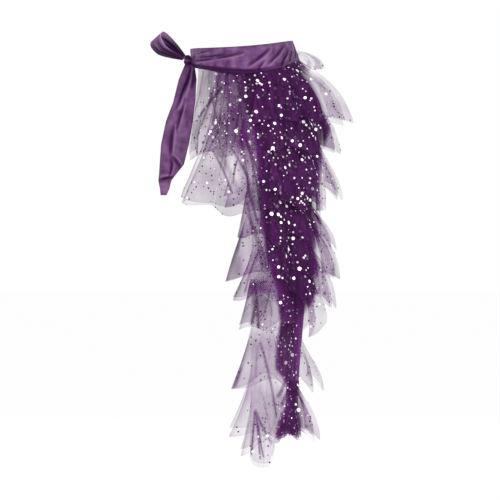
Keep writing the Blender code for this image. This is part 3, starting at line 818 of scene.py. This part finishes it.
def make_sash_band(satin):
    name = "sash_band"
    across, down = grid_shares(name)
    angle = SASH_START - SASH_TURN * across
    side = np.sin(angle) ** 2
    top = SASH_TOP + SASH_TOP_TIP * np.cos(angle) - SASH_TOP_DIP * side
    wave = 0.5 - 0.5 * np.cos(2 * pi * SASH_CREASES * down + SASH_CREASE_SLANT * np.sin(angle))
    depth, hollow, raised = crease_field(np.degrees(angle), down, BAND_CREASES, DEGREE_LENGTH, BAND_DEPTH)
    roll = np.sin(pi * as_share((down - ROLL_FROM) / (1 - ROLL_FROM)))
    lift = SASH_LIFT + (SASH_CREASE * wave + SASH_ROLL * roll) * side - CREASE_PLAY * depth
    lift = lift + SATIN_DENTS * crumple(across, down * 0.06, 402, 30.0)
    points = hip_points(angle, mix(top, sash_foot(angle), down), np.maximum(lift, 0.5 * SASH_LIFT))
    # Painted shade under the rolled lower edge, at the back and along the upper edge, besides that in the
    # creases
    turned = ease(*ROLL_TOP, down + 0.04 * np.sin(4.0 * angle))
    away = np.abs(angle)
    dark = hollow + turned * ease(*ROLL_SHADE, away) + BACK_SHADE * ease(*BACK_SHADE_FADE, away)
    dark = dark + fading(*TOP_EDGE_SHADE, down)
    make_satin(name, points, (0.0, 0.0, 0.0), "gathered", "hip_flounce_short_cloth", satin, dark, raised)


def knot_frame():
    """The knot's middle, and its directions out from the sash, along it and up."""
    angle, height = np.array(KNOT_ANGLE), np.array(KNOT_HEIGHT)
    lift = sash_face(angle) + KNOT_RADII[0] - KNOT_SEAT
    middle = hip_points(angle, height, lift)
    outward = hip_points(angle, height, lift + 1.0) - middle
    up = np.array((0.0, 0.0, 1.0))
    return middle, np.array((outward, np.cross(up, outward), up))


def make_knot(satin):
    """The knot: a lump of satin with the folds that wrap round it."""
    middle, ways = knot_frame()
    ball = bmesh.new()
    bmesh.ops.create_icosphere(ball, subdivisions=6, radius=1.0)
    mesh = mesh_of(ball, "sash_knot")
    unit = vectors(mesh.vertices, "co").astype(float)
    wrap = np.cos(unit @ KNOT_FOLDS)
    fine = np.cos(unit @ KNOT_FINE_FOLDS)
    unit = unit * (1 - KNOT_GROOVE * (0.5 + 0.5 * wrap) - KNOT_FINE_GROOVE * fine)[:, None]
    mesh.vertices.foreach_set("co", (middle + unit * KNOT_RADII @ ways).astype(np.float32).ravel())
    # Painted shade over all the knot, deepest in the grooves of its folds
    folds = 0.5 + 0.5 * np.cos(unit @ KNOT_FOLDS)
    add_look(mesh, "hollow", as_share(KNOT_SHADE + folds))
    mesh.shade_smooth()
    mesh.update()
    add_piece("sash_knot_cloth", mesh, satin, "sash_knot")


def make_sash_loop(satin):
    """The bow loop: out of the knot, round and back into it, with folds that run into the knot."""
    name = "sash_loop"
    round_loop, across = grid_shares(name)
    forward_way, across_way = np.array(LOOP_FORWARD), np.array(LOOP_ACROSS)
    spread_way = np.cross(forward_way, across_way)
    forward, spread, half_width = along_table(LOOP_ROUTE, round_loop, "forward", "spread", "half_width")
    depth, hollow, raised = crease_field(across, round_loop, LOOP_CREASES, LOOP_WIDTH, LOOP_LENGTH)
    pinch = np.abs(1 - 2 * round_loop) ** 1.5
    ripple = LOOP_RIPPLE * np.sin(3.0 * pi * across + 3.0 * round_loop) * pinch * (1 - 0.4 * pinch)
    step_forward, step_spread = np.gradient(forward, axis=1), np.gradient(spread, axis=1)
    length = np.hypot(step_forward, step_spread)
    aside = (ripple - LOOP_CREASE_PLAY * depth) * np.minimum(1.0, half_width / LOOP_NARROW)
    forward = forward + aside * step_spread / length
    spread = spread - aside * step_forward / length
    middle = knot_frame()[0]
    points = middle + forward[..., None] * forward_way + spread[..., None] * spread_way
    points = points + ((1 - 2 * across) * half_width)[..., None] * across_way
    # Painted shade on its underside and near the knot; painted light on part of its way round, away from
    # the knot, and along its rims
    under = LOOP_UNDER_SHADE * ease(0.55, 0.95, across) * ease(0.5, 0.6, round_loop)
    dark = hollow + under + LOOP_ROOT_SHADE * ease(0.15, 0.65, pinch)
    lit = ease(0.5, 0.4, round_loop) * ease(0.8, 0.3, pinch)
    rim = fading(*LOOP_RIM, across) + fading(*LOOP_RIM, 1 - across)
    lit = np.maximum(raised, lit) + rim * ease(0.9, 0.3, pinch)
    middle = middle + LOOP_MIDDLE * forward_way
    make_satin(name, points, middle, "folded", "sash_knot_cloth", satin, dark, lit)


def make_sash_tail(satin):
    """The hanging end: wide, with long creases, and turned up at its foot."""
    name = "sash_tail"
    across, down = grid_shares(name)
    height = mix(TAIL_ROWS[0].height, TAIL_ROWS[-1].height, down)
    front, back, near, fold = at_height(TAIL_ROWS[::-1], height, "front", "back", "near", "fold")
    depth, hollow, raised = crease_field(across, down, TAIL_CREASES, TAIL_WIDTH, TAIL_LENGTH)
    dents = TAIL_DENTS * crumple(across * 0.2, down, 521, 9.0)
    near = near - fold * np.cos(2 * pi * across) + depth + dents
    points = np.stack([mix(front, back, across), near, height], axis=-1)
    # Painted shade along its head under the knot and along its front and back edges; painted light on its
    # turned-up foot
    dark = hollow + fading(*TAIL_HEAD_SHADE, down) + fading(*TAIL_FRONT_SHADE, across)
    dark = dark + fading(*TAIL_BACK_SHADE, 1 - across)
    lit = np.maximum(raised, TURN_UP_LIGHT * ease(*TURN_UP, down) * ease(1.0, 0.96, down))
    make_satin(name, points, TAIL_INSIDE, "hung", "sash_knot_cloth", satin, dark, lit)


# ==== the foil dots
def dot_crowding(points):
    """How many more dots than on loose net lie at each point, as a share."""
    high = ease(*HIGH_DOTS_FOOT, points[..., 2])
    return dense_share(points) * (DENSE_DOTS + HIGH_DOTS * high) + HIP_DOTS * hip_layer(points)


class FoilDots:
    """Small round foil dots, joined into one mesh for each group of cloths.

    A row of a side's array is a dot as seen from that side: its x, its height and its size."""

    def __init__(self):
        self.cloths = []
        self.groups = {}
        self.sides = {-1.0: np.zeros((0, 3)), 1.0: np.zeros((0, 3))}

    def scatter(self, name, points, cover, seed):
        """Chooses a cloth's places for dots, spread evenly over its area."""
        chance = np.random.default_rng(seed + 700)
        right = points[:-1, 1:] - points[:-1, :-1]
        below = points[1:, :-1] - points[:-1, :-1]
        weight = np.linalg.norm(np.cross(right, below), axis=-1)
        weight = weight * (1 + dot_crowding(points[:-1, :-1])) * (cover[:-1, :-1] > DOT_LEAST_COVER)
        count = int(weight.sum() / DOT_AREA)
        chosen = chance.choice(weight.size, size=count * 3, p=(weight / weight.sum()).ravel())
        group = self.groups.setdefault(DOT_GROUPS.get(name.split("_")[0], "tail"), [])
        taken = np.zeros((0, 3))
        for cell in chosen:
            if len(taken) == count:
                break
            at = divmod(int(cell), weight.shape[1])
            point = points[at] + 0.5 * (right[at] + below[at])
            side = np.copysign(1.0, point[1])
            others = self.sides[side]
            seen = point[[0, 2]]
            away = np.linalg.norm(others[:, :2] - seen, axis=1)
            room = (2.0 * away - others[:, 2]).min(initial=1.0)
            between = np.abs(taken - point).sum(axis=1).min(initial=1.0)
            if between < DOT_SPACING or away.min(initial=1.0) < SIDE_SPACING or room < LEAST_ROOM:
                continue
            taken = np.vstack([taken, point])
            normal = np.cross(below[at], right[at])
            normal = normal / np.linalg.norm(normal)
            if normal @ (point - (*NET_MIDDLE[:2], point[2])) < 0.0:
                normal = -normal
            size = chance.choice(column(DOT_SIZES, "diameter"), p=column(DOT_SIZES, "share"))
            size = size * chance.uniform(0.85, 1.1)
            shine = chance.uniform(0.35, 1.0) if size < SMALL_DOT else 1.0
            bright = max(float(dense_share(point)), 0.9 * float(hip_layer(point)))
            size = min(size * mix(LOOSE_SIZE, 1.0, bright), room)
            # A dot painted dark all over: painted shade of a dot seen against the light
            if chance.random() < mix(DARK_SHARE_LOOSE, DARK_SHARE_DENSE, bright):
                size = min(size, DARK_LARGEST)
                shine = 0.0
            self.sides[side] = np.vstack([others, (*seen, size)])
            group.append((point, normal, size, shine))

    def make(self, foil):
        for cloth in reversed(self.cloths):
            self.scatter(*cloth)
        for group, dots in self.groups.items():
            joined = bmesh.new()
            for point, normal, size, _ in dots:
                dot = bmesh.new()
                bmesh.ops.create_cone(
                    dot, cap_ends=True, segments=DOT_SIDES, radius1=0.5 * size,
                    radius2=0.5 * DOT_BEVEL * size, depth=DOT_THICKNESS,
                )
                turn = Vector(normal).to_track_quat("Z", "Y").to_matrix().to_4x4()
                dot.transform(Matrix.Translation(Vector(point + DOT_CLEARANCE * normal)) @ turn)
                template = mesh_of(dot, "dot")
                joined.from_mesh(template)
                bpy.data.meshes.remove(template)
            mesh = mesh_of(joined, "foil_dots_" + group)
            faces = len(mesh.polygons) // len(dots)
            add_look(mesh, "shine", np.repeat([dot[3] for dot in dots], faces), "FACE")
            add_piece(mesh.name, mesh, foil)


# ==== finishes
def fill(tree, made, values):
    """Sets a node's inputs, or links them where a value is another node's output."""
    for key, value in dict(values).items():
        if isinstance(value, bpy.types.NodeSocket):
            tree.links.new(value, made.inputs[key])
        else:
            made.inputs[key].default_value = value
    return made


def node(tree, kind, values=(), **settings):
    made = tree.nodes.new("ShaderNode" + kind)
    for key, value in settings.items():
        setattr(made, key, value)
    return fill(tree, made, values)


def maths(tree, operation, *values):
    return node(tree, "Math", enumerate(values), operation=operation).outputs[0]


def mix_colours(tree, share, first, second, way="MIX"):
    return node(tree, "Mix", {0: share, 6: first, 7: second}, data_type="RGBA", blend_type=way).outputs[2]


def attribute(tree, name):
    return node(tree, "Attribute", attribute_name=name).outputs["Fac"]


def noise(tree, scale, detail, stretch=(1.0, 1.0, 1.0)):
    """A noise on the object's own place."""
    place = node(tree, "TexCoord").outputs["Object"]
    place = node(tree, "Mapping", {"Vector": place, "Scale": stretch}).outputs[0]
    return node(tree, "TexNoise", {"Vector": place, "Scale": scale, "Detail": detail}).outputs[0]


def threads(tree, weave, pitch):
    return node(tree, "Group", {"Pitch": pitch}, node_tree=weave).outputs["Height"]


def weave_group():
    """The fine threads of a cloth, on its cut: how high a thread lies, from 0 to 1."""
    group = bpy.data.node_groups.new("cloth_weave", "ShaderNodeTree")
    group.interface.new_socket("Pitch", in_out="INPUT", socket_type="NodeSocketFloat")
    group.interface.new_socket("Height", in_out="OUTPUT", socket_type="NodeSocketFloat")
    pitch = group.nodes.new("NodeGroupInput").outputs["Pitch"]
    place = node(group, "TexCoord").outputs["UV"]
    x, y = node(group, "SeparateXYZ", {0: place}).outputs[:2]
    waves = []
    for sign in (1.0, -1.0):
        slant = maths(group, "ADD", x, maths(group, "MULTIPLY", y, sign))
        turns = maths(group, "DIVIDE", slant, pitch)
        waves.append(maths(group, "SINE", maths(group, "MULTIPLY", turns, 2 * pi)))
    height = maths(group, "MULTIPLY_ADD", maths(group, "MULTIPLY", *waves), 0.5, 0.5)
    fill(group, group.nodes.new("NodeGroupOutput"), {"Height": height})
    return group


def new_material(name, describe, *parts):
    """A material whose shader's inputs are what describe gives for its tree."""
    material = bpy.data.materials.new(name)
    material.use_nodes = True
    tree = material.node_tree
    fill(tree, tree.nodes["Principled BSDF"], describe(tree, *parts))
    return material


def tulle_inputs(tree, weave):
    uneven = maths(tree, "ADD", noise(tree, 44.0, 5.0), 0.5)
    net = maths(tree, "MULTIPLY_ADD", threads(tree, weave, NET_PITCH), 0.12, 0.94)
    seen_through = maths(tree, "SUBTRACT", 1.0, attribute(tree, "cover"))
    clear = maths(tree, "POWER", seen_through, maths(tree, "MULTIPLY", uneven, net))
    streaks = maths(tree, "MULTIPLY_ADD", noise(tree, 1.0, 3.0, NET_STREAKS), 2.4, -0.15)
    # The net's own colour where loose, darkened by painted shade where its layers lie bunched together
    colour = mix_colours(tree, attribute(tree, "shade"), NET_LOOSE, NET_PAINTED_SHADE)
    return {
        "Base Color": mix_colours(tree, 1.0, colour, maths(tree, "MAXIMUM", streaks, 0.65), "MULTIPLY"),
        "Alpha": maths(tree, "SUBTRACT", 1.0, clear),
        "Roughness": 0.62,
        "Sheen Weight": 0.01,
        "Sheen Tint": NET_SHEEN,
        "Specular IOR Level": 0.03,
    }


def satin_inputs(tree, weave):
    # The hollow look is painted shade: in creases, under the rolled edge, along edges, at the back and in
    # the knot's grooves
    hollow = attribute(tree, "hollow")
    # Random blotches between a duller and a brighter tone: a painted speckled sheen over the satin's own
    # tone
    cloudy = noise(tree, 52.0, 4.0)
    blotches = maths(tree, "MULTIPLY_ADD", cloudy, 2.4, -0.7)
    plain = mix_colours(tree, blotches, SATIN_DULL, SATIN_BRIGHT)
    # Painted highlight on crease ridges, on the loop and on the tail's turned-up foot
    light = mix_colours(tree, attribute(tree, "raised"), plain, SATIN_PAINTED_HIGHLIGHT)
    relief = {"Height": threads(tree, weave, SATIN_PITCH), "Strength": 0.12, "Distance": 0.0004}
    return {
        "Base Color": mix_colours(tree, hollow, light, SATIN_PAINTED_SHADE),
        "Roughness": maths(tree, "MULTIPLY_ADD", cloudy, 0.14, 0.4),
        "Normal": node(tree, "Bump", relief).outputs[0],
        "Coat Weight": maths(tree, "MULTIPLY", maths(tree, "SUBTRACT", 1.0, hollow), 0.16),
        "Coat Roughness": 0.34,
        "Sheen Weight": 0.03,
        "Sheen Tint": SATIN_SHEEN,
        "Specular IOR Level": 0.08,
    }


def foil_inputs(tree):
    # Shine 0 gives a dot the painted shade of one seen against the light; below 1, a duller dot part way to
    # it
    shine = attribute(tree, "shine")
    grain = noise(tree, 900.0, 1.0)
    return {
        "Base Color": mix_colours(tree, shine, FOIL_PAINTED_SHADE, mix_colours(tree, grain, FOIL_DULL, FOIL_BRIGHT)),
        "Roughness": maths(tree, "MULTIPLY_ADD", grain, 0.2, 0.22),
        "Metallic": maths(tree, "MULTIPLY", shine, 0.25),
    }


def floor_inputs(tree):
    return {
        "Base Color": FLOOR_COLOUR,
        "Roughness": 1.0,
        "Specular IOR Level": 0.0,
        "Emission Color": WHITE,
        "Emission Strength": FLOOR_GLOW,
    }


# ==== camera, light and floor
def set_camera():
    lens = bpy.data.cameras.new("camera")
    lens.lens = CAMERA_LENS
    lens.sensor_width = SENSOR_WIDTH
    camera = add_object("camera", lens)
    camera.location = CAMERA_PLACE
    camera.rotation_euler = (radians(90.0), 0.0, 0.0)
    bpy.context.scene.camera = camera


def set_studio():
    world = bpy.data.worlds.new("white_room")
    world.use_nodes = True
    tree = world.node_tree
    seen = node(tree, "LightPath").outputs["Is Camera Ray"]
    strength = maths(tree, "MULTIPLY_ADD", seen, 1 - ROOM_LIGHT, ROOM_LIGHT)
    fill(tree, tree.nodes["Background"], {"Color": WHITE, "Strength": strength})
    scene = bpy.context.scene
    scene.world = world
    for row in LAMPS:
        lamp = bpy.data.lights.new(row.name, "AREA")
        lamp.shape = "DISK"
        lamp.size = row.size
        lamp.energy = row.power
        held = add_object(row.name, lamp)
        held.location = (row.x, row.y, row.z)
        way = Vector((0.0, 0.0, row.aim)) - held.location
        held.rotation_euler = way.to_track_quat("-Z", "Y").to_euler()
        held.visible_glossy = row.mirrored
    floor = bmesh.new()
    bmesh.ops.create_circle(floor, cap_ends=True, segments=96, radius=FLOOR_RADIUS)
    bmesh.ops.translate(floor, verts=floor.verts, vec=(0.0, 0.0, FLOOR_HEIGHT))
    mesh = mesh_of(floor, "floor")
    mesh.materials.append(new_material("pale_floor", floor_inputs))
    add_object("floor", mesh)
    scene.view_settings.view_transform = "Standard"
    scene.cycles.transparent_max_bounces = 96
    scene.cycles.max_bounces = 6
    scene.cycles.diffuse_bounces = 2
    scene.cycles.glossy_bounces = 2


# ==== making the whole
set_camera()
set_studio()
weave = weave_group()
tulle = new_material("dotted_tulle", tulle_inputs, weave)
satin = new_material("purple_satin", satin_inputs, weave)
foil = new_material("silver_foil", foil_inputs)
dots = FoilDots()
stack = ClothStack()
make_train(stack, tulle, dots)
for number, row in enumerate(FLOUNCES):
    make_flounce(row, 40 + 10 * number, stack, tulle, dots)
make_header(tulle, dots)
make_sash_band(satin)
make_knot(satin)
make_sash_loop(satin)
make_sash_tail(satin)
dots.make(foil)
